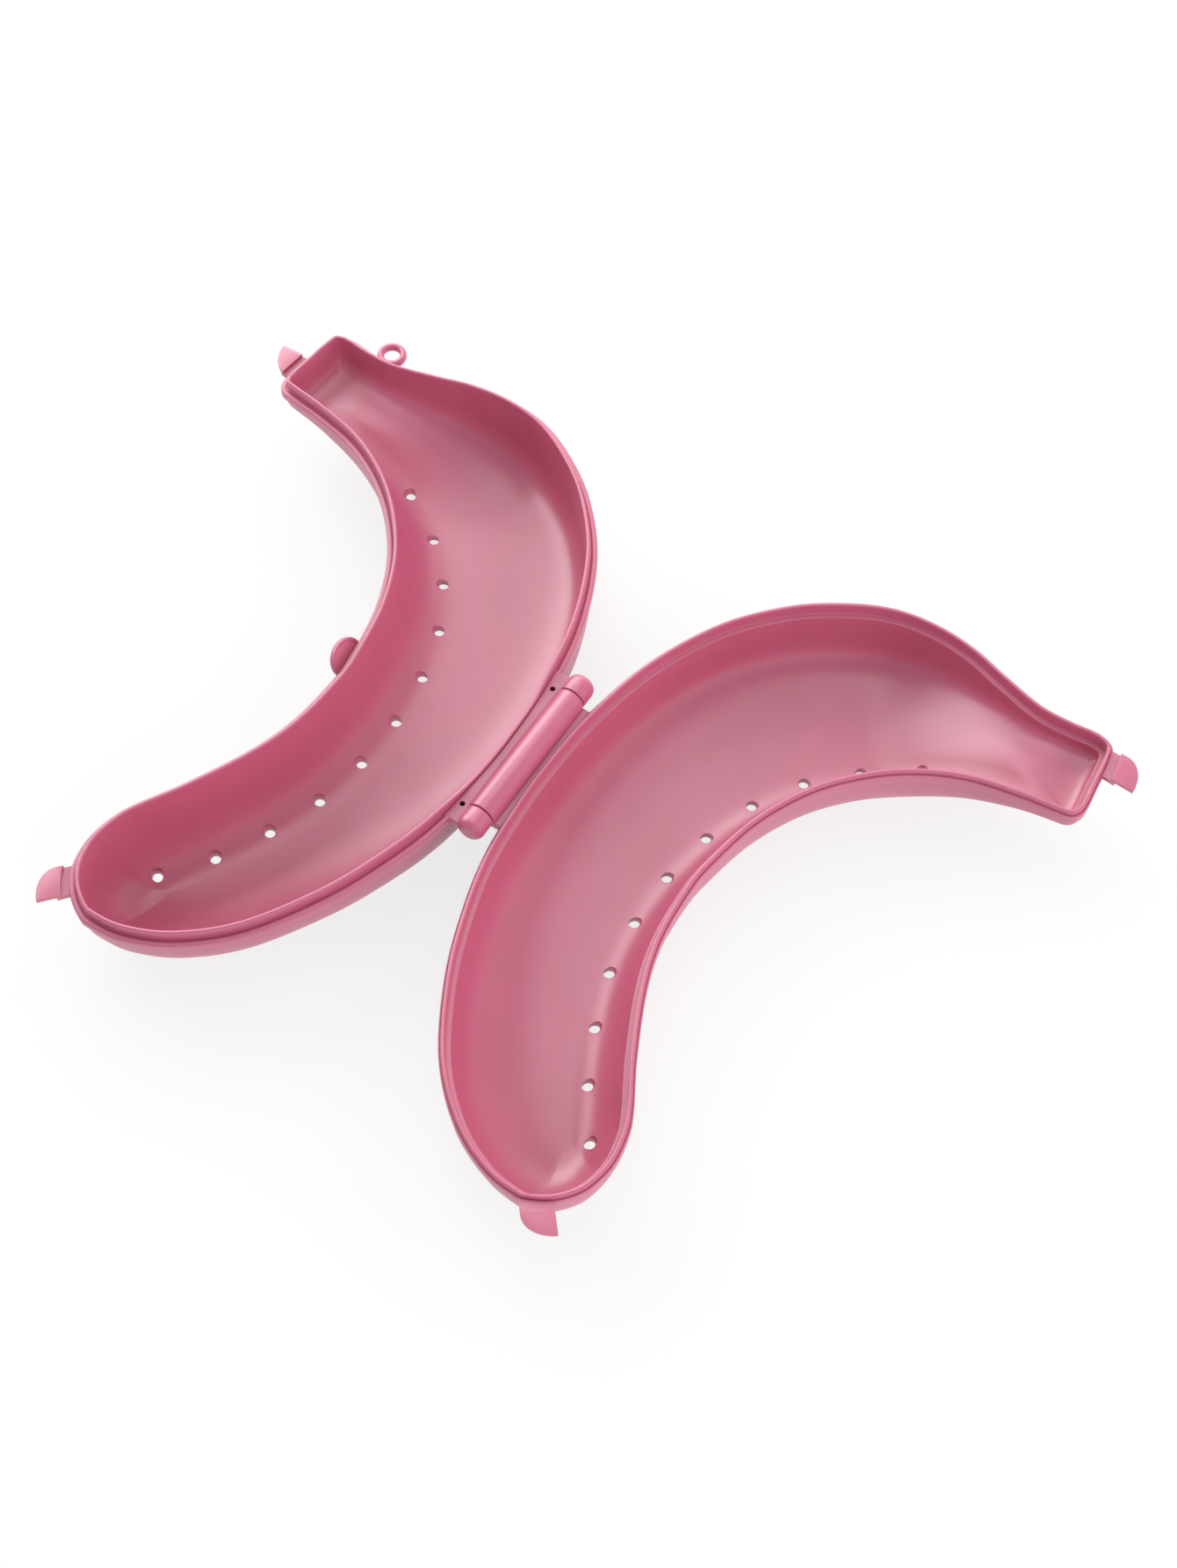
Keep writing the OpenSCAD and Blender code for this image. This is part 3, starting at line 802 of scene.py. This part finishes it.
base_shell()
lid_shell()
hinge_barrel()
hinge_lug("hinge_ear_neck", 1, "hinge_lug_neck")
hinge_lug("hinge_ear_tip", -1, "hinge_lug_tip")
leaf("base_neck_leaf", NECK_SPOT, NECK_TURN, 1, BASE, "base_plastic", "base_neck_latch")
leaf("base_tip_leaf", TIP_SPOT, TIP_TURN, -1, BASE, "base_plastic", "base_tip_latch")
leaf("lid_neck_leaf", NECK_SPOT, NECK_TURN, -1, LID, "lid_plastic", "lid_neck_latch")
leaf("lid_tip_leaf", TIP_SPOT, TIP_TURN, 1, LID, "lid_plastic", "lid_tip_latch")
side_tab()
strap_ring()

pin = frame["nodes"]["hinge_pin"]
pin.data.materials.clear()
pin.data.materials.append(STEEL)


# Studio: lamps stand in metres from the case, and the table's glow is its share in what the camera sees
LAMP_AWAY = 1.1
FLOOR_TONE, FLOOR_GLOW, SKY_LIGHT = 0.8, 0.78, 0.38


def pale_floor():
    """White table. Seen by the camera it glows a little, so that it stays white and keeps a soft shadow."""
    deselect_all()
    bpy.ops.mesh.primitive_plane_add(size=8, location=(0, 0, -0.0002))
    floor = bpy.context.object
    floor.name = "table_top"
    material = bpy.data.materials.new("white_table")
    material.use_nodes = True
    nodes, links = material.node_tree.nodes, material.node_tree.links
    shader = nodes["Principled BSDF"]
    shader.inputs["Base Color"].default_value = (FLOOR_TONE, FLOOR_TONE, FLOOR_TONE, 1)
    shader.inputs["Roughness"].default_value = 0.9
    seen = nodes.new("ShaderNodeLightPath")
    first = nodes.new("ShaderNodeMath")
    first.operation = "MAXIMUM"
    links.new(seen.outputs["Is Camera Ray"], first.inputs[0])
    links.new(seen.outputs["Is Glossy Ray"], first.inputs[1])
    second = nodes.new("ShaderNodeMath")
    second.operation = "MAXIMUM"
    links.new(first.outputs["Value"], second.inputs[0])
    links.new(seen.outputs["Is Transmission Ray"], second.inputs[1])
    part = nodes.new("ShaderNodeMath")
    part.operation = "MULTIPLY"
    part.inputs[1].default_value = FLOOR_GLOW
    links.new(second.outputs["Value"], part.inputs[0])
    glow = nodes.new("ShaderNodeEmission")
    glow.inputs["Strength"].default_value = 1
    mix = nodes.new("ShaderNodeMixShader")
    links.new(part.outputs["Value"], mix.inputs["Fac"])
    links.new(shader.outputs["BSDF"], mix.inputs[1])
    links.new(glow.outputs["Emission"], mix.inputs[2])
    links.new(mix.outputs["Shader"], nodes["Material Output"].inputs["Surface"])
    floor.data.materials.append(material)


def softbox(name, azimuth, elevation, width, height, power, mirrored=True):
    """Soft light on the case from a direction in degrees, seen in its gloss only if mirrored."""
    turn, rise = math.radians(azimuth), math.radians(elevation)
    way = Vector((math.cos(turn) * math.cos(rise), math.sin(turn) * math.cos(rise), math.sin(rise)))
    deselect_all()
    bpy.ops.object.light_add(type="AREA", location=way * LAMP_AWAY)
    lamp = bpy.context.object
    lamp.name = name
    lamp.data.shape = "RECTANGLE"
    lamp.data.size, lamp.data.size_y = width, height
    lamp.data.energy = power
    lamp.visible_glossy = mirrored
    lamp.rotation_euler = (-way).to_track_quat("-Z", "Y").to_euler()


def studio():
    """Table, even white surroundings, the window's side of soft boxes and two panels for the far walls."""
    pale_floor()
    world = bpy.data.worlds.new("studio")
    bpy.context.scene.world = world
    world.use_nodes = True
    sky = world.node_tree.nodes["Background"]
    sky.inputs["Color"].default_value = (1, 1, 1, 1)
    sky.inputs["Strength"].default_value = SKY_LIGHT
    softbox("window_box", 158, 30, 1.3, 0.8, 12.6)
    softbox("top_box", 123, 70, 0.6, 0.8, 2.4)
    softbox("back_box", 108, 24, 0.8, 0.75, 2.6)
    softbox("right_panel", 335, 27, 1.6, 0.8, 8.8, mirrored=False)
    softbox("back_panel", 55, 27, 1.5, 0.8, 7.0, mirrored=False)


def camera():
    """Stands where the photograph was taken from: distances in metres, angles in degrees."""
    image_height, focal = 1785, 2682.5
    azimuth, elevation = math.radians(33.305), math.radians(59.8)
    target, distance = Vector((0.01685, 0.00678, 0.023)), 0.5679
    reach, rise = math.cos(elevation), math.sin(elevation)
    back = Vector((math.sin(azimuth) * reach, -math.cos(azimuth) * reach, rise))
    deselect_all()
    bpy.ops.object.camera_add(location=target + back * distance)
    eye = bpy.context.object
    eye.name = "photo_camera"
    eye.rotation_euler = (-back).to_track_quat("-Z", "Y").to_euler()
    eye.data.sensor_width = 36
    eye.data.lens = 36 * focal / image_height
    bpy.context.scene.camera = eye


studio()
camera()
bpy.context.scene.view_settings.view_transform = "Standard"
